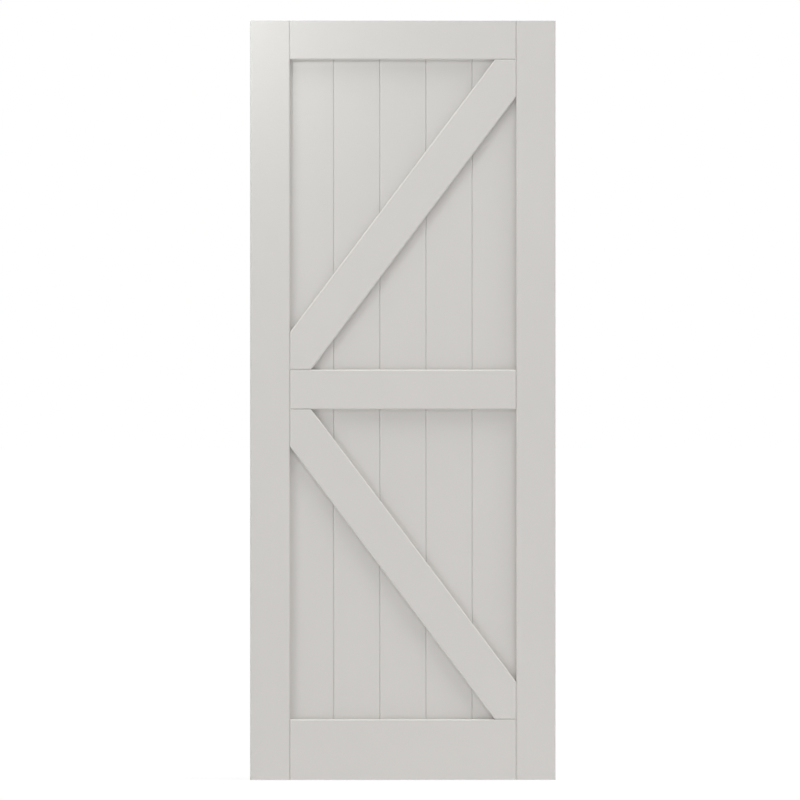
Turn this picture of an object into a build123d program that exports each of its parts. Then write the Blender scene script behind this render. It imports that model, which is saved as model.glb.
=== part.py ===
from build123d import *
import math
import os

# A painted sliding barn door leaf with a K brace, in millimetres.
# The origin is the middle of the bottom edge.
# Seen from the front, which faces -Y, +X is to the right and +Z is up.

# Leaf
leaf_height = 2040.0
leaf_width = 820.0
leaf_thickness = 40.0

# Stiles and rails, with every arris on a face chamfered except along the top and bottom edges of the leaf
stile_width = 105.5
top_rail_height = 104.0
middle_rail_height = 106.0
bottom_rail_height = 163.0
arris_chamfer = 2.75

# Grooves round the panels, and the stub tenons that close them at the rail ends
panel_groove_depth = 10.0
panel_face_clearance = 0.1
tenon_face_clearance = 0.1
tenon_end_clearance = 0.5

# Boards, tongued and grooved, V-jointed on both faces and free to swell in the stile grooves
board_count = 5
board_thickness = 12.0
board_side_gap = 4.0
board_top_gap = 2.5
vee_size = 2.0
tongue_thickness = 4.0
tongue_length = 6.0
tongue_ease = 0.6
tongue_face_clearance = 0.1
tongue_end_clearance = 0.5

# Braces, planted on the boards and flush with the frame
brace_width = 106.0
brace_landing_on_rail = 57.5

# Dowels in the rail joints
top_rail_dowel_count = 2
middle_rail_dowel_count = 2
bottom_rail_dowel_count = 3
dowel_diameter = 10.0
dowel_depth_in_rail = 50.0
dowel_depth_in_stile = 60.0
dowel_clearance = 0.1
dowel_end_room = 2.0

# T-headed pins of flat wire, set below the face, that hold each board between the two braces across it
pin_width = 1.6
pin_thickness = 1.4
pin_head_width = 2.9
pin_head_height = 1.0
pin_tip_length = 2.5
pin_set = 1.5
pin_bite = 7.5
pin_clearance = 0.05
pin_offset = 40.0

# Groove along the bottom edge that runs over a floor guide
guide_groove_width = 10.0
guide_groove_depth = 20.0

# Reach of every cut beyond the wood
overrun = 5.0

# Places worked out from the sizes above
front_face = -leaf_thickness / 2
back_face = leaf_thickness / 2
opening_width = leaf_width - 2 * stile_width
opening_height = (leaf_height - top_rail_height - middle_rail_height - bottom_rail_height) / 2
middle_rail_bottom = bottom_rail_height + opening_height
middle_rail_top = middle_rail_bottom + middle_rail_height
top_rail_bottom = leaf_height - top_rail_height
panel_groove_width = board_thickness + 2 * panel_face_clearance
tenon_thickness = panel_groove_width - 2 * tenon_face_clearance
tenon_length = panel_groove_depth - tenon_end_clearance
board_pitch = (opening_width + 2 * (panel_groove_depth - board_side_gap)) / board_count
board_length = opening_height + 2 * panel_groove_depth - board_top_gap
brace_thickness = (leaf_thickness - board_thickness) / 2
pin_length = brace_thickness - pin_set + board_thickness + pin_bite

# Each rail: its lower and upper edge, how deep each edge is grooved, and its dowels at each end
rails = {
    "top_rail": (top_rail_bottom, leaf_height, panel_groove_depth, 0, top_rail_dowel_count),
    "middle_rail": (
        middle_rail_bottom,
        middle_rail_top,
        panel_groove_depth,
        panel_groove_depth,
        middle_rail_dowel_count,
    ),
    "bottom_rail": (0, bottom_rail_height, guide_groove_depth, panel_groove_depth, bottom_rail_dowel_count),
}

# Each panel: the lower edge of its opening, and whether its braces rise or fall to the right
panels = {
    "upper": (middle_rail_top, 1),
    "lower": (bottom_rail_height, -1),
}


def block(corner, opposite):
    """A box between two opposite corners, given in any order."""
    low = [min(pair) for pair in zip(corner, opposite)]
    high = [max(pair) for pair in zip(corner, opposite)]
    size = [end - start for start, end in zip(low, high)]
    return Pos(*low) * Box(*size, align=(Align.MIN, Align.MIN, Align.MIN))


def guide_groove():
    """The cut for the floor guide, right across the bottom edge."""
    reach = leaf_width / 2 + overrun
    half = guide_groove_width / 2
    return block((-reach, -half, -overrun), (reach, half, guide_groove_depth))


def dowel_places(rail):
    """Side and height of each dowel of a rail, spaced evenly over the wood between its edge grooves."""
    bottom, top, lower_cut, upper_cut, count = rails[rail]
    start = bottom + lower_cut
    room = top - upper_cut - start
    heights = [start + room * (2 * i + 1) / (2 * count) for i in range(count)]
    return [(side, height) for side in (-1, 1) for height in heights]


def along_rail(side, height):
    """A place on a rail's shoulder, with the local Z axis pointing into the stile."""
    return Pos(side * opening_width / 2, 0, height) * Rot(0, side * 90, 0)


def dowel_form(side, height, room, end_room):
    """A dowel across a rail's shoulder, with room added round it and at its ends for its hole."""
    length = dowel_depth_in_rail + dowel_depth_in_stile + 2 * end_room
    middle = (dowel_depth_in_stile - dowel_depth_in_rail) / 2
    return along_rail(side, height) * Pos(0, 0, middle) * Cylinder(dowel_diameter / 2 + room, length)


def dowel(side, height):
    return dowel_form(side, height, 0, 0)


def dowel_hole(side, height):
    return dowel_form(side, height, dowel_clearance, dowel_end_room)


def stile(side):
    """A stile of the full height, grooved on its inner edge for boards and tenons."""
    outer = side * leaf_width / 2
    inner = side * opening_width / 2
    half_groove = panel_groove_width / 2
    wood = block((outer, front_face, 0), (inner, back_face, leaf_height))
    wood = chamfer(wood.edges().filter_by(Axis.Z), arris_chamfer)
    wood -= block(
        (inner - side * overrun, -half_groove, -overrun),
        (inner + side * panel_groove_depth, half_groove, leaf_height + overrun),
    )
    wood -= guide_groove()
    for rail in rails:
        for place in dowel_places(rail):
            if place[0] == side:
                wood -= dowel_hole(*place)
    return wood


def rail(name):
    """A rail between the stiles, grooved for the boards, with stub tenons that fill the stile grooves."""
    bottom, top, lower_cut, upper_cut, _ = rails[name]
    half_length = opening_width / 2
    half_groove = panel_groove_width / 2
    wood = block((-half_length, front_face, bottom), (half_length, back_face, top))
    chamfered = wood.edges().filter_by(Axis.Z)
    lower_arrises, upper_arrises = wood.edges().filter_by(Axis.X).group_by(Axis.Z)
    below_panel = top < leaf_height
    above_panel = bottom > 0
    if above_panel:
        chamfered += lower_arrises
    if below_panel:
        chamfered += upper_arrises
    wood = chamfer(chamfered, arris_chamfer)
    reach = half_length + tenon_length
    past_end = reach + overrun
    wood += block((-reach, -tenon_thickness / 2, bottom), (reach, tenon_thickness / 2, top))
    if above_panel:
        groove_top = bottom + lower_cut
        wood -= block((-past_end, -half_groove, bottom - overrun), (past_end, half_groove, groove_top))
    if below_panel:
        groove_bottom = top - upper_cut
        wood -= block((-past_end, -half_groove, groove_bottom), (past_end, half_groove, top + overrun))
    wood -= guide_groove()
    for place in dowel_places(name):
        wood -= dowel_hole(*place)
    return wood


def board_centre(index):
    return board_pitch * (index - (board_count - 1) / 2)


def board_section(index):
    """Section of a board: a groove on its left, a tongue on its right, a plain edge in a stile groove."""
    left, right = -board_pitch / 2, board_pitch / 2
    grooved = index > 0
    tongued = index < board_count - 1
    section = Sketch() + Rectangle(board_pitch, board_thickness)
    left_corners, right_corners = section.vertices().group_by(Axis.X)
    jointed = (left_corners if grooved else []) + (right_corners if tongued else [])
    section = chamfer(jointed, vee_size)
    if grooved:
        depth = tongue_length + tongue_end_clearance
        width = tongue_thickness + 2 * tongue_face_clearance
        section -= Pos(left + (depth - overrun) / 2, 0) * Rectangle(depth + overrun, width)
    if tongued:
        tongue = Sketch() + Rectangle(tongue_length, tongue_thickness)
        tongue = chamfer(tongue.vertices().group_by(Axis.X)[-1], tongue_ease)
        section += Pos(right + tongue_length / 2, 0) * tongue
    return section


def board(panel, index):
    """A board that stands on the bottom of the groove below it."""
    opening_bottom, _ = panels[panel]
    foot = opening_bottom - panel_groove_depth
    wood = Pos(board_centre(index), 0, foot) * extrude(board_section(index), board_length)
    for face in (-1, 1):
        wood -= pin_hole(panel, index, face)
    return wood


def brace_angle():
    """Slope at which a brace of its width lands by its landing on both rails."""
    across = opening_width / 2 - brace_landing_on_rail
    up = opening_height / 2
    reach = math.hypot(across, up)
    return math.acos(brace_width / (2 * reach)) - math.atan2(across, up)


def brace_outline(panel):
    """Outline of a brace: a straight strip through the middle of the opening, cut to its corners."""
    _, rise = panels[panel]
    angle = brace_angle()
    half_width = opening_width / 2
    half_height = opening_height / 2
    on_rail = half_width - brace_landing_on_rail
    landing_on_stile = (brace_width - brace_landing_on_rail * math.sin(angle)) / math.cos(angle)
    on_stile = half_height - landing_on_stile
    half_outline = [
        (on_rail, half_height),
        (half_width, half_height),
        (half_width, on_stile),
    ]
    outline = half_outline + [(-x, -z) for x, z in half_outline]
    return [(x, rise * z) for x, z in outline]


def brace(panel, face):
    """A brace on the front (-1) or back (1) of the boards, chamfered all round its face."""
    opening_bottom, _ = panels[panel]
    on_boards = Pos(0, face * board_thickness / 2, opening_bottom + opening_height / 2)
    outline = make_face(Plane.XZ * Polyline(*brace_outline(panel), close=True))
    wood = on_boards * extrude(outline, brace_thickness, dir=(0, face, 0))
    outer_face = wood.faces().sort_by(Axis.Y)[0 if face < 0 else -1]
    wood = chamfer(outer_face.edges(), arris_chamfer)
    for index in range(board_count):
        for pin_face in (-1, 1):
            wood -= pin_hole(panel, index, pin_face)
    return wood


def pin_form(room):
    """A T-headed pin, head up at the origin and point down, with room added round it for its hole."""
    shank = pin_width / 2 + room
    head = pin_head_width / 2 + room
    right_side = [
        (head, 0),
        (head, -pin_head_height - room),
        (shank, -pin_head_height - room),
        (shank, pin_tip_length - pin_length),
    ]
    left_side = [(-x, z) for x, z in reversed(right_side)]
    point = (0, -pin_length - room)
    profile = make_face(Plane.XZ * Polyline(*right_side, point, *left_side, close=True))
    return extrude(profile, pin_thickness / 2 + room, both=True)


def pin_place(panel, index, face):
    """Where a pin's head lies, driven from the front (-1) or the back (1) at the middle of a board."""
    opening_bottom, rise = panels[panel]
    across = board_centre(index)
    centre = opening_bottom + opening_height / 2 + rise * across * math.tan(brace_angle())
    head = face * (leaf_thickness / 2 - pin_set)
    return Pos(across, head, centre - face * pin_offset) * Rot(-face * 90, 0, 0)


def pin(panel, index, face):
    return pin_place(panel, index, face) * pin_form(0)


def pin_hole(panel, index, face):
    return pin_place(panel, index, face) * pin_form(pin_clearance)


pieces = {"left_stile": stile(-1), "right_stile": stile(1)}
for name in rails:
    pieces[name] = rail(name)
    pieces[name + "_dowels"] = Compound(children=[dowel(*place) for place in dowel_places(name)])
for panel in panels:
    for index in range(board_count):
        pieces[f"{panel}_board_{index + 1}"] = board(panel, index)
    pieces[panel + "_front_brace"] = brace(panel, -1)
    pieces[panel + "_back_brace"] = brace(panel, 1)
    pieces[panel + "_brace_pins"] = Compound(
        children=[pin(panel, index, face) for index in range(board_count) for face in (-1, 1)]
    )

os.makedirs("parts", exist_ok=True)
for name, piece in pieces.items():
    export_step(piece, f"parts/{name}.step")
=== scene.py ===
import math

import bmesh
import bpy
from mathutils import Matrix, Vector


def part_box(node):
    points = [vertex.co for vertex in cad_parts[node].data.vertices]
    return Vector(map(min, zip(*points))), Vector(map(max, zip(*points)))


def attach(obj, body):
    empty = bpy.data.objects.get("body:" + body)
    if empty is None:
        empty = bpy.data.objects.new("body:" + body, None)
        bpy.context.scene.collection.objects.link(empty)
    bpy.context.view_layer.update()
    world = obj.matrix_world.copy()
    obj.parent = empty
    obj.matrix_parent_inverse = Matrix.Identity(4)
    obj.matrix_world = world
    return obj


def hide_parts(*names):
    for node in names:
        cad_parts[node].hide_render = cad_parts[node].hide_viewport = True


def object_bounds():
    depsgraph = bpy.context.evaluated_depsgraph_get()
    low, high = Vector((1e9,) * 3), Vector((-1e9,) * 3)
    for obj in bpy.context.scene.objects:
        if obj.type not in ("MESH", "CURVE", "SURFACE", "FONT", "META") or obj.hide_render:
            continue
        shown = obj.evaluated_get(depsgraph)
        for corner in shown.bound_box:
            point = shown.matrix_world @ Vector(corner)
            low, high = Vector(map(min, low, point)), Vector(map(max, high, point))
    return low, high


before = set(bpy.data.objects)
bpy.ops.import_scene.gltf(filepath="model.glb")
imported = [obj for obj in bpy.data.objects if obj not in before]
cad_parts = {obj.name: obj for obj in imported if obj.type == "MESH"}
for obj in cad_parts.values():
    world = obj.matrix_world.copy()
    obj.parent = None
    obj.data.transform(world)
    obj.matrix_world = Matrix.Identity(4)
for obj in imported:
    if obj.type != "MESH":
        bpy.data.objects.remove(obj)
cad_low, cad_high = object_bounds()

# A painted sliding barn door leaf with a K brace, in metres, standing on its bottom edge.
# Its front faces -Y, with +X to the right and +Z up.

# Turns and units
quarter_turn = math.pi / 2
half_turn = math.pi
millimetres_per_metre = 1000.0

# Picture, in pixels: its side, and where the front face's middle, top and bottom lie in it
picture_size = 800.0
face_middle_px = 403.1
face_top_px = 20.65
face_bottom_px = 780.0

# Camera: a long level lens. Its azimuth is in degrees, to the right of straight in front.
camera_distance = 60.0
camera_azimuth = -2.0
camera_far_share = 10.0
sensor_width = 0.036

# Boards: what the boxes of their solids don't tell
board_count = 5
panels = ("lower", "upper")
vee_size = 0.002
tongue_thickness = 0.004
tongue_ease = 0.0006
tongue_face_clearance = 0.0001
tongue_end_clearance = 0.0005
board_softness = 0.0004
softness_steps = 3

# Meshes: how near two points are to be one, and the least angle of a sharp edge
weld_distance = 0.000001
crease_angle = math.radians(35)

# Dowels
dowel_diameter = 0.010
dowel_flute_count = 16
dowel_flute_depth = 0.0004
dowel_chamfer = 0.0015
dowel_points_per_flute = 6

# Noise: the shares between which nearly all of it lies
noise_low_share = 0.3
noise_high_share = 0.7

# Paint: colour, gloss, and the marks that roller and brush leave in it
paint_colour = (0.563, 0.547, 0.527)
paint_tone_share = 0.008
paint_roughness = 0.60
paint_roughness_swing = 0.05
paint_gloss = 0.05
cloud_width = 0.30
cloud_length = 0.60
cloud_detail = 2.0
stroke_width = 0.0022
stroke_length = 0.16
stroke_height = 0.000012
stroke_detail = 3.0
stipple_size = 0.0014
stipple_height = 0.000008
stipple_detail = 1.0

# Bare beech of the dowels
beech_light = (0.63, 0.44, 0.28)
beech_dark = (0.47, 0.30, 0.17)
beech_roughness = 0.62
fibre_width = 0.0006
fibre_length = 0.03
fibre_height = 0.00004
fibre_detail = 4.0

# Drawn wire of the pins
wire_colour = (0.52, 0.51, 0.50)
wire_dark_share = 0.9
wire_roughness = 0.34
wire_line_width = 0.0001
wire_line_length = 0.008
wire_line_height = 0.000005
wire_line_detail = 2.0

# Studio: the room's even light, and the floor. The floor's bounce and glow are what light meets there.
# To the eye it is white, with a share of its lit colour, in which the shadow shows.
pure_white = (1.0, 1.0, 1.0, 1.0)
room_level = 0.10
floor_bounce = 0.45
floor_glow = 0.548
floor_colour = (0.85, 0.85, 0.85)
floor_shadow_share = 0.12
floor_reach = 400.0

# Far lamps: azimuth to the right of straight in front, elevation and width, all in degrees, and the level
# that each lays on a face square to it
soft_lamps = {
    "overhead": (0, 85, 20, 0.44),
    "upper_right": (40, 70, 20, 0.41),
    "front": (0, 40, 20, 0.18),
    "right": (80, 40, 20, 0.235),
    "left": (-60, 10, 20, 0.23),
    "back": (140, 20, 20, 0.37),
}

# A small lamp close to the upper left corner
corner_lamp_place = (-0.84, -0.665, 2.36)
corner_lamp_width = 0.10
corner_lamp_power = 5.2
corner_lamp_colour = (0.93, 1.0, 1.02)


def placed(name, data):
    """A new object in the scene."""
    made = bpy.data.objects.new(name, data)
    bpy.context.scene.collection.objects.link(made)
    return made


def add(tree, kind, sockets=None, **settings):
    """A node with its settings, whose sockets hold a constant or take another node's output."""
    made = tree.nodes.new(kind)
    for setting, value in settings.items():
        setattr(made, setting, value)
    for socket, value in (sockets or {}).items():
        if isinstance(value, bpy.types.NodeSocket):
            tree.links.new(value, made.inputs[socket])
        else:
            made.inputs[socket].default_value = value
    return made


def maths(tree, operation, *values):
    """The output of a Math node on the given numbers or sockets."""
    return add(tree, "ShaderNodeMath", dict(enumerate(values)), operation=operation).outputs[0]


def half(tree, value):
    """Half of a socket's number."""
    return maths(tree, "MULTIPLY", value, 0.5)


def vector(tree, x=0.0, y=0.0, z=0.0):
    """A vector of the given numbers or sockets."""
    return add(tree, "ShaderNodeCombineXYZ", {"X": x, "Y": y, "Z": z}).outputs[0]


def new_tree(name, inputs):
    """A Geometry Nodes tree with one geometry output and the named inputs, and those inputs' sockets."""
    tree = bpy.data.node_groups.new(name, "GeometryNodeTree")
    tree.interface.new_socket("Geometry", in_out="OUTPUT", socket_type="NodeSocketGeometry")
    for label, kind in inputs.items():
        tree.interface.new_socket(label, in_out="INPUT", socket_type="NodeSocket" + kind)
    return tree, tree.nodes.new("NodeGroupInput").outputs


def give(tree, geometry):
    """Sends a geometry to the tree's output."""
    add(tree, "NodeGroupOutput", {"Geometry": geometry})


def grown(name, tree, values, seeds=None):
    """A plain mesh object made by a tree from its named values, and from seed points where it takes them."""
    piece = placed(name, seeds or bpy.data.meshes.new(name + "_seed"))
    growth = piece.modifiers.new("growth", "NODES")
    growth.node_group = tree
    for item in tree.interface.items_tree:
        if item.item_type == "SOCKET" and item.in_out == "INPUT" and item.name in values:
            growth[item.identifier] = values[item.name]
    evaluated = piece.evaluated_get(bpy.context.evaluated_depsgraph_get())
    mesh = bpy.data.meshes.new_from_object(evaluated)
    piece.modifiers.remove(growth)
    piece.data = mesh
    mesh.name = name
    # The first slot is an empty one, left by the seed
    mesh.materials.pop(index=0)
    return piece


def creased(tree, geometry):
    """Smooth shading, broken where two faces meet at a real corner."""
    smooth = add(tree, "GeometryNodeSetShadeSmooth", {"Geometry": geometry, "Shade Smooth": True})
    angle = tree.nodes.new("GeometryNodeInputMeshEdgeAngle").outputs["Unsigned Angle"]
    sharp = maths(tree, "GREATER_THAN", angle, crease_angle)
    sockets = {"Geometry": smooth.outputs[0], "Selection": sharp, "Shade Smooth": False}
    return add(tree, "GeometryNodeSetShadeSmooth", sockets, domain="EDGE").outputs[0]


def joined(tree, *geometries):
    """Several geometries as one."""
    made = tree.nodes.new("GeometryNodeJoinGeometry")
    for geometry in geometries:
        tree.links.new(geometry, made.inputs[0])
    return made.outputs[0]


def welded(tree, geometry):
    """A geometry whose double points are merged."""
    sockets = {"Geometry": geometry, "Distance": weld_distance}
    return add(tree, "GeometryNodeMergeByDistance", sockets).outputs[0]


def set_out(tree, points, instance, **sockets):
    """Copies of a geometry on points. Keywords name other sockets of the node."""
    sockets.update({"Points": points, "Instance": instance})
    return add(tree, "GeometryNodeInstanceOnPoints", sockets).outputs[0]


def finished(tree, geometry, material):
    """Sends a geometry to the tree's output in a material."""
    give(tree, add(tree, "GeometryNodeSetMaterial", {"Geometry": geometry, "Material": material}).outputs[0])


def board_tree():
    """One board: a V-jointed section, grooved on its left and tongued on its right, run up its length."""
    tree, given = new_tree("board", {
        "Pitch": "Float",
        "Thickness": "Float",
        "Length": "Float",
        "Left vee": "Float",
        "Right vee": "Float",
        "Groove depth": "Float",
        "Groove width": "Float",
        "Tongue length": "Float",
        "Tongue thickness": "Float",
        "Tongue ease": "Float",
        "Softness": "Float",
    })
    edge = half(tree, given["Pitch"])
    face = half(tree, given["Thickness"])
    groove = half(tree, given["Groove width"])
    tongue = half(tree, given["Tongue thickness"])
    left = maths(tree, "MULTIPLY", edge, -1.0)
    tip = maths(tree, "ADD", edge, given["Tongue length"])
    half_section = [
        (maths(tree, "ADD", left, given["Groove depth"]), groove),
        (left, groove),
        (left, maths(tree, "SUBTRACT", face, given["Left vee"])),
        (maths(tree, "ADD", left, given["Left vee"]), face),
        (maths(tree, "SUBTRACT", edge, given["Right vee"]), face),
        (edge, maths(tree, "SUBTRACT", face, given["Right vee"])),
        (edge, tongue),
        (maths(tree, "SUBTRACT", tip, given["Tongue ease"]), tongue),
        (tip, maths(tree, "SUBTRACT", tongue, given["Tongue ease"])),
    ]
    point_count = 2 * len(half_section)
    index = tree.nodes.new("GeometryNodeInputIndex").outputs[0]
    from_end = maths(tree, "SUBTRACT", point_count - 1, index)
    chosen = add(tree, "GeometryNodeIndexSwitch", data_type="VECTOR")
    while len(chosen.index_switch_items) < len(half_section):
        chosen.index_switch_items.new()
    tree.links.new(maths(tree, "MINIMUM", index, from_end), chosen.inputs[0])
    for item, (across, out) in enumerate(half_section):
        tree.links.new(vector(tree, across, out), chosen.inputs[item + 1])
    in_front = maths(tree, "LESS_THAN", index, len(half_section))
    side = maths(tree, "MULTIPLY_ADD", in_front, -2.0, 1.0)
    mirrored = {0: chosen.outputs[0], 1: vector(tree, 1.0, side, 1.0)}
    place = add(tree, "ShaderNodeVectorMath", mirrored, operation="MULTIPLY").outputs[0]
    points = add(tree, "GeometryNodeMeshLine", {"Count": point_count}).outputs[0]
    corners = add(tree, "GeometryNodeSetPosition", {"Geometry": points, "Position": place}).outputs[0]
    line = add(tree, "GeometryNodeMeshToCurve", {"Mesh": welded(tree, corners)}).outputs[0]
    ring = add(tree, "GeometryNodeSetSplineCyclic", {"Geometry": line, "Cyclic": True}).outputs[0]
    easing = {"Curve": ring, "Count": softness_steps, "Radius": given["Softness"], "Limit Radius": True}
    eased = add(tree, "GeometryNodeFilletCurve", easing, mode="POLY").outputs[0]
    foot = add(tree, "GeometryNodeFillCurve", {"Curve": eased}, mode="NGONS").outputs[0]
    rise = {"Mesh": foot, "Offset": vector(tree, z=given["Length"]), "Individual": False}
    body = add(tree, "GeometryNodeExtrudeMesh", rise).outputs["Mesh"]
    under = add(tree, "GeometryNodeFlipFaces", {"Mesh": foot}).outputs[0]
    give(tree, welded(tree, joined(tree, body, under)))
    return tree


def panel_tree(board):
    """Rows of boards side by side, one row for each panel: plain outer edges, joints between."""
    tree, given = new_tree("panel_boards", {
        "Boards": "Int",
        "Panels": "Int",
        "First foot": "Float",
        "Panel rise": "Float",
        "First centre": "Float",
        "Pitch": "Float",
        "Thickness": "Float",
        "Length": "Float",
        "Vee": "Float",
        "Groove depth": "Float",
        "Groove width": "Float",
        "Tongue length": "Float",
        "Tongue thickness": "Float",
        "Tongue ease": "Float",
        "Softness": "Float",
        "Paint": "Material",
    })
    start = vector(tree, x=given["First centre"])
    row = {"Count": given["Boards"], "Start Location": start, "Offset": vector(tree, x=given["Pitch"])}
    places = add(tree, "GeometryNodeMeshLine", row).outputs[0]
    index = tree.nodes.new("GeometryNodeInputIndex").outputs[0]
    grooved = maths(tree, "GREATER_THAN", index, 0.0)
    tongued = maths(tree, "LESS_THAN", index, maths(tree, "SUBTRACT", given["Boards"], 1.0))
    between = maths(tree, "MULTIPLY", grooved, tongued)
    kinds = [
        (maths(tree, "SUBTRACT", 1.0, grooved), 0.0, 1.0),
        (between, 1.0, 1.0),
        (maths(tree, "SUBTRACT", 1.0, tongued), 1.0, 0.0),
    ]
    boards = []
    for chosen, has_groove, has_tongue in kinds:
        one = add(tree, "GeometryNodeGroup", node_tree=board)
        for label in ("Pitch", "Thickness", "Length", "Groove width", "Tongue thickness", "Softness"):
            tree.links.new(given[label], one.inputs[label])
        for label, source, has in (
            ("Left vee", "Vee", has_groove),
            ("Right vee", "Vee", has_tongue),
            ("Groove depth", "Groove depth", has_groove),
            ("Tongue length", "Tongue length", has_tongue),
            ("Tongue ease", "Tongue ease", has_tongue),
        ):
            tree.links.new(maths(tree, "MULTIPLY", given[source], has), one.inputs[label])
        boards.append(set_out(tree, places, one.outputs[0], Selection=chosen))
    feet = {
        "Count": given["Panels"],
        "Start Location": vector(tree, z=given["First foot"]),
        "Offset": vector(tree, z=given["Panel rise"]),
    }
    rows = set_out(tree, add(tree, "GeometryNodeMeshLine", feet).outputs[0], joined(tree, *boards))
    real = add(tree, "GeometryNodeRealizeInstances", {"Geometry": rows}).outputs[0]
    finished(tree, creased(tree, real), given["Paint"])
    return tree


def panel_boards(paint):
    """All the boards of both panels, in the places of their solids."""
    names = [f"{panel}_board_{index + 1}" for panel in panels for index in range(board_count)]
    first_low, first_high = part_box("lower_board_1")
    second_low, second_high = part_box("lower_board_2")
    third_low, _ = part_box("lower_board_3")
    upper_low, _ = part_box("upper_board_1")
    pitch = third_low.x - second_low.x
    tongue_length = second_high.x - third_low.x
    piece = grown("panel_boards", panel_tree(board_tree()), {
        "Boards": board_count,
        "Panels": len(panels),
        "First foot": first_low.z,
        "Panel rise": upper_low.z - first_low.z,
        "First centre": second_low.x - pitch / 2,
        "Pitch": pitch,
        "Thickness": first_high.y - first_low.y,
        "Length": first_high.z - first_low.z,
        "Vee": vee_size,
        "Groove depth": tongue_length + tongue_end_clearance,
        "Groove width": tongue_thickness + 2 * tongue_face_clearance,
        "Tongue length": tongue_length,
        "Tongue thickness": tongue_thickness,
        "Tongue ease": tongue_ease,
        "Softness": board_softness,
        "Paint": paint,
    })
    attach(piece, "root")
    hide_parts(*names)


def island_centres(node):
    """The middle of each separate solid in a CAD node, in order of place."""
    copy = bmesh.new()
    copy.from_mesh(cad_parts[node].data)
    bmesh.ops.remove_doubles(copy, verts=copy.verts, dist=weld_distance)
    waiting = set(copy.verts)
    centres = []
    while waiting:
        island = [waiting.pop()]
        for vertex in island:
            for edge in vertex.link_edges:
                other = edge.other_vert(vertex)
                if other in waiting:
                    waiting.remove(other)
                    island.append(other)
        lows = [min(vertex.co[axis] for vertex in island) for axis in range(3)]
        highs = [max(vertex.co[axis] for vertex in island) for axis in range(3)]
        centres.append((Vector(lows) + Vector(highs)) / 2)
    copy.free()
    return sorted(centres, key=tuple)


def dowel_tree():
    """A fluted dowel with chamfered ends, lying along X on each seed point."""
    tree, given = new_tree("fluted_dowels", {
        "Centres": "Geometry",
        "Length": "Float",
        "Diameter": "Float",
        "Flutes": "Int",
        "Flute depth": "Float",
        "Chamfer": "Float",
        "Wood": "Material",
    })
    radius = half(tree, given["Diameter"])
    around = maths(tree, "MULTIPLY", given["Flutes"], dowel_points_per_flute)
    round_sockets = {"Resolution": around, "Radius": radius}
    circle = add(tree, "GeometryNodeCurvePrimitiveCircle", round_sockets).outputs[0]
    here = tree.nodes.new("GeometryNodeInputPosition").outputs[0]
    parts = add(tree, "ShaderNodeSeparateXYZ", {0: here}).outputs
    turn = maths(tree, "ARCTAN2", parts["Y"], parts["X"])
    wave = maths(tree, "COSINE", maths(tree, "MULTIPLY", turn, given["Flutes"]))
    dip = maths(tree, "MULTIPLY", maths(tree, "MULTIPLY_ADD", wave, 0.5, 0.5), given["Flute depth"])
    shrink = maths(tree, "SUBTRACT", 1.0, maths(tree, "DIVIDE", dip, radius))
    fluted = add(tree, "ShaderNodeVectorMath", {0: here, "Scale": shrink}, operation="SCALE").outputs[0]
    ring = add(tree, "GeometryNodeSetPosition", {"Geometry": circle, "Position": fluted}).outputs[0]
    disc = add(tree, "GeometryNodeFillCurve", {"Curve": ring}, mode="NGONS").outputs[0]
    straight = maths(tree, "SUBTRACT", half(tree, given["Length"]), given["Chamfer"])
    shank_sockets = {"Mesh": disc, "Offset": vector(tree, z=straight), "Individual": False}
    shank = add(tree, "GeometryNodeExtrudeMesh", shank_sockets)
    end_sockets = {
        "Mesh": shank.outputs["Mesh"],
        "Selection": shank.outputs["Top"],
        "Offset": vector(tree, z=given["Chamfer"]),
        "Individual": False,
    }
    end = add(tree, "GeometryNodeExtrudeMesh", end_sockets)
    taper = maths(tree, "SUBTRACT", 1.0, maths(tree, "DIVIDE", given["Chamfer"], radius))
    end_face = {"Geometry": end.outputs["Mesh"], "Selection": end.outputs["Top"], "Scale": taper}
    upper = add(tree, "GeometryNodeScaleElements", end_face).outputs[0]
    turning = {"Geometry": upper, "Rotation": (half_turn, 0.0, 0.0)}
    lower = add(tree, "GeometryNodeTransform", turning).outputs[0]
    dowel = creased(tree, welded(tree, joined(tree, upper, lower)))
    dowels = set_out(tree, given["Centres"], dowel, Rotation=(0.0, quarter_turn, 0.0))
    real = add(tree, "GeometryNodeRealizeInstances", {"Geometry": dowels}).outputs[0]
    finished(tree, real, given["Wood"])
    return tree


def fluted_dowels(wood):
    """The dowels of all three rails, in the places of their solids."""
    names = ["top_rail_dowels", "middle_rail_dowels", "bottom_rail_dowels"]
    centres = [centre for name in names for centre in island_centres(name)]
    seeds = bpy.data.meshes.new("dowel_centres")
    seeds.from_pydata(centres, [], [])
    _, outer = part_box(names[0])
    length = 2 * (outer.x - max(centre.x for centre in centres))
    piece = grown("fluted_dowels", dowel_tree(), {
        "Length": length,
        "Diameter": dowel_diameter,
        "Flutes": dowel_flute_count,
        "Flute depth": dowel_flute_depth,
        "Chamfer": dowel_chamfer,
        "Wood": wood,
    }, seeds)
    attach(piece, "root")
    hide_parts(*names)


def new_material(name):
    """An empty material's tree, its Principled shader and the piece's own coordinates."""
    made = bpy.data.materials.new(name)
    made.use_nodes = True
    tree = made.node_tree
    coordinates = tree.nodes.new("ShaderNodeTexCoord").outputs["Object"]
    return made, tree, tree.nodes["Principled BSDF"], coordinates


def turned(tree, coordinates, lean):
    """Coordinates turned in the plane of the leaf, so that their Z runs along a piece that leans."""
    sockets = {"Vector": coordinates, "Rotation": (0.0, lean, 0.0)}
    return add(tree, "ShaderNodeMapping", sockets).outputs[0]


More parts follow.
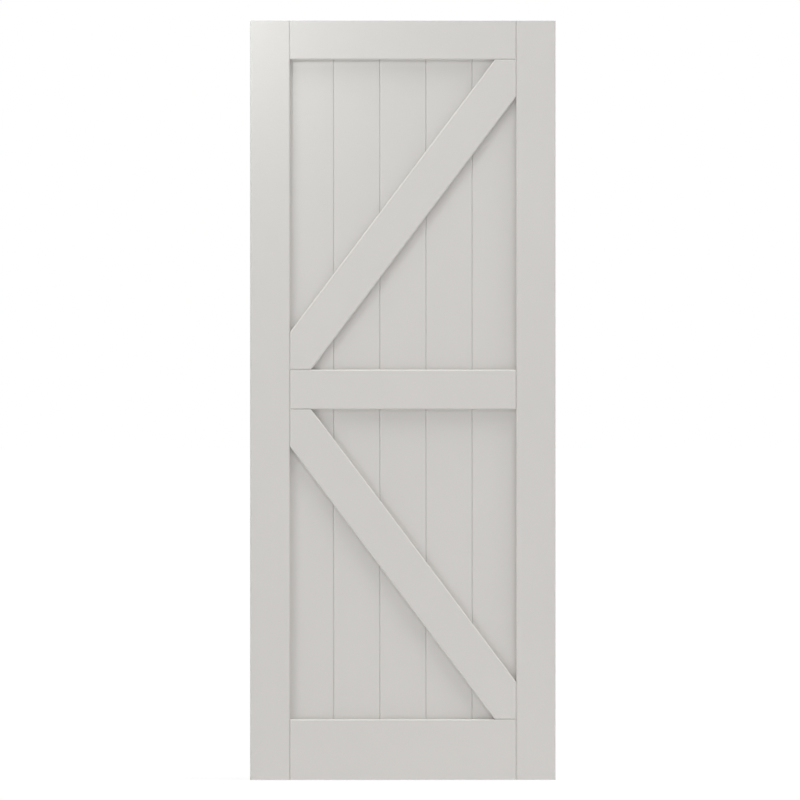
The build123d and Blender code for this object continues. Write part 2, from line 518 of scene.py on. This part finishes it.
def noise(tree, coordinates, across, along, detail, run="Z"):
    """Noise of a given size across a piece and another along the axis of its run."""
    scale = [1 / along if axis == run else 1 / across for axis in "XYZ"]
    sized = add(tree, "ShaderNodeMapping", {"Vector": coordinates, "Scale": scale}).outputs[0]
    sockets = {"Vector": sized, "Scale": 1.0, "Detail": detail}
    return add(tree, "ShaderNodeTexNoise", sockets).outputs["Fac"]


def raised(tree, height, distance, under=None):
    """A bump on top of another."""
    sockets = {"Height": height, "Distance": distance}
    if under:
        sockets["Normal"] = under
    return add(tree, "ShaderNodeBump", sockets).outputs[0]


def ranged(tree, value, low, high):
    """A noise value spread from low to high."""
    sockets = {
        "Value": value,
        "From Min": noise_low_share,
        "From Max": noise_high_share,
        "To Min": low,
        "To Max": high,
    }
    return add(tree, "ShaderNodeMapRange", sockets).outputs[0]


def blended(tree, value, first, second):
    """A colour that goes from one to another with a noise value."""
    # On a Mix node the sockets for colours come after those for numbers and vectors
    sockets = {0: ranged(tree, value, 0.0, 1.0), 6: (*first, 1.0), 7: (*second, 1.0)}
    return add(tree, "ShaderNodeMix", sockets, data_type="RGBA").outputs[2]


def door_paint(name, lean):
    """Low-sheen paint: faintly clouded, with roller stipple and brush strokes along a piece that leans."""
    made, tree, shader, coordinates = new_material(name)
    along_piece = turned(tree, coordinates, lean)
    cloud = noise(tree, along_piece, cloud_width, cloud_length, cloud_detail)
    strokes = noise(tree, along_piece, stroke_width, stroke_length, stroke_detail)
    stipple = noise(tree, coordinates, stipple_size, stipple_size, stipple_detail)
    dark = [part * (1 - paint_tone_share) for part in paint_colour]
    light = [part * (1 + paint_tone_share) for part in paint_colour]
    tree.links.new(blended(tree, cloud, dark, light), shader.inputs["Base Color"])
    smoothest = paint_roughness - paint_roughness_swing
    roughest = paint_roughness + paint_roughness_swing
    tree.links.new(ranged(tree, strokes, smoothest, roughest), shader.inputs["Roughness"])
    shader.inputs["Specular IOR Level"].default_value = paint_gloss
    brushed = raised(tree, strokes, stroke_height)
    tree.links.new(raised(tree, stipple, stipple_height, brushed), shader.inputs["Normal"])
    return made


def bare_beech():
    """Turned beech with its fibres along X."""
    made, tree, shader, coordinates = new_material("bare_beech")
    fibres = noise(tree, coordinates, fibre_width, fibre_length, fibre_detail, run="X")
    tree.links.new(blended(tree, fibres, beech_dark, beech_light), shader.inputs["Base Color"])
    tree.links.new(raised(tree, fibres, fibre_height), shader.inputs["Normal"])
    shader.inputs["Roughness"].default_value = beech_roughness
    return made


def drawn_wire():
    """Steel wire with drawing lines along Y."""
    made, tree, shader, coordinates = new_material("drawn_wire")
    lines = noise(tree, coordinates, wire_line_width, wire_line_length, wire_line_detail, run="Y")
    dark = [part * wire_dark_share for part in wire_colour]
    tree.links.new(blended(tree, lines, dark, wire_colour), shader.inputs["Base Color"])
    tree.links.new(raised(tree, lines, wire_line_height), shader.inputs["Normal"])
    shader.inputs["Metallic"].default_value = 1.0
    shader.inputs["Roughness"].default_value = wire_roughness
    return made


def finish_nodes(material, *names):
    """Gives CAD nodes a finish."""
    for name in names:
        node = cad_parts[name]
        node.data.materials.clear()
        node.data.materials.append(material)


def edge_run(mesh, edge):
    """From an edge's first point to its second."""
    start, end = (mesh.vertices[index].co for index in edge.vertices)
    return end - start


def brace_lean(panel):
    """How far a brace leans from upright, read from the long edges of its solid."""
    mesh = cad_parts[panel + "_front_brace"].data
    run = max((edge_run(mesh, edge) for edge in mesh.edges), key=lambda found: found.length)
    return math.atan2(run.x, run.z)


def finishes():
    """Paint on the wood, with its strokes along each piece, and the pins' bare wire."""
    upright = door_paint("paint_upright", 0.0)
    level = door_paint("paint_level", quarter_turn)
    finish_nodes(upright, "left_stile", "right_stile")
    finish_nodes(level, "top_rail", "middle_rail", "bottom_rail")
    for panel in panels:
        leaning = door_paint(f"paint_{panel}_brace", brace_lean(panel))
        finish_nodes(leaning, panel + "_front_brace", panel + "_back_brace")
    finish_nodes(drawn_wire(), "upper_brace_pins", "lower_brace_pins")
    panel_boards(upright)
    fluted_dowels(bare_beech())


def seen_directly(tree):
    """A share that is 1 where the camera, a reflection or a see-through surface looks."""
    path = tree.nodes.new("ShaderNodeLightPath").outputs
    mirrored = maths(tree, "MAXIMUM", path["Is Glossy Ray"], path["Is Transmission Ray"])
    return maths(tree, "MAXIMUM", path["Is Camera Ray"], mirrored)


def mixed(tree, share, first, second):
    """A shader between two, by a share."""
    return add(tree, "ShaderNodeMixShader", {0: share, 1: first, 2: second}).outputs[0]


def glowing(tree, strength):
    """A shader of even white light."""
    return add(tree, "ShaderNodeEmission", {"Color": pure_white, "Strength": strength}).outputs[0]


def chalky(tree, colour):
    """A dull shader, which scatters light evenly."""
    return add(tree, "ShaderNodeBsdfDiffuse", {"Color": (*colour, 1.0)}).outputs[0]


def room():
    """Even light from all round, in front of plain white."""
    world = bpy.data.worlds.new("studio")
    bpy.context.scene.world = world
    world.use_nodes = True
    tree = world.node_tree
    light = tree.nodes["Background"]
    light.inputs["Color"].default_value = pure_white
    light.inputs["Strength"].default_value = room_level
    backdrop = add(tree, "ShaderNodeBackground", {"Color": pure_white, "Strength": 1.0})
    surface = mixed(tree, seen_directly(tree), light.outputs[0], backdrop.outputs[0])
    tree.links.new(surface, tree.nodes["World Output"].inputs["Surface"])


def pale_floor():
    """A wide, faintly lit floor that looks white and keeps the leaf's shadow."""
    mesh = bpy.data.meshes.new("floor")
    corners = [(-1, -1), (1, -1), (1, 1), (-1, 1)]
    places = [(x * floor_reach, y * floor_reach, cad_low.z) for x, y in corners]
    mesh.from_pydata(places, [], [range(len(corners))])
    floor = placed("floor", mesh)
    made = bpy.data.materials.new("pale_floor")
    made.use_nodes = True
    tree = made.node_tree
    bounce = chalky(tree, [floor_bounce] * 3)
    lit = add(tree, "ShaderNodeAddShader", {0: bounce, 1: glowing(tree, floor_glow)}).outputs[0]
    looks = mixed(tree, floor_shadow_share, glowing(tree, 1.0), chalky(tree, floor_colour))
    surface = mixed(tree, seen_directly(tree), lit, looks)
    tree.links.new(surface, tree.nodes["Material Output"].inputs["Surface"])
    mesh.materials.append(made)


def outward(azimuth, elevation):
    """Out from the leaf: azimuth to the right of straight in front, elevation above level, in degrees."""
    turn = math.radians(azimuth)
    rise = math.radians(elevation)
    return Vector((math.sin(turn) * math.cos(rise), -math.cos(turn) * math.cos(rise), math.sin(rise)))


def soft_lamp(name, azimuth, elevation, width, level):
    """A wide, far lamp, which lays its level of white on a face square to it."""
    lamp = bpy.data.lights.new(name, "SUN")
    lamp.angle = math.radians(width)
    lamp.energy = math.pi * level
    made = placed(name, lamp)
    made.rotation_euler = outward(azimuth, elevation).to_track_quat("Z", "Y").to_euler()


def corner_lamp():
    """A small lamp near the upper left corner, facing the leaf."""
    lamp = bpy.data.lights.new("corner", "AREA")
    lamp.shape = "DISK"
    lamp.size = corner_lamp_width
    lamp.energy = corner_lamp_power
    lamp.color = corner_lamp_colour
    made = placed("corner", lamp)
    made.location = corner_lamp_place
    made.rotation_euler = (quarter_turn, 0, 0)


def lamps():
    """All the lamps, far and near."""
    for name, values in soft_lamps.items():
        soft_lamp(name, *values)
    corner_lamp()


def camera():
    """A long lens on the front face, level, from a little to its left."""
    metres_per_px = (cad_high.z - cad_low.z) / (face_bottom_px - face_top_px)
    picture_middle = picture_size / 2
    across = (picture_middle - face_middle_px) * metres_per_px
    height = cad_low.z + (face_bottom_px - picture_middle) * metres_per_px
    lens = bpy.data.cameras.new("camera")
    lens.sensor_width = sensor_width * millimetres_per_metre
    lens.lens = lens.sensor_width * camera_distance / (picture_size * metres_per_px)
    lens.clip_end = camera_far_share * camera_distance
    eye = placed("camera", lens)
    eye.location = Vector((across, cad_low.y, height)) + camera_distance * outward(camera_azimuth, 0)
    eye.rotation_euler = (quarter_turn, 0, math.radians(camera_azimuth))
    bpy.context.scene.camera = eye


finishes()
room()
pale_floor()
lamps()
camera()
bpy.context.scene.view_settings.view_transform = "Standard"
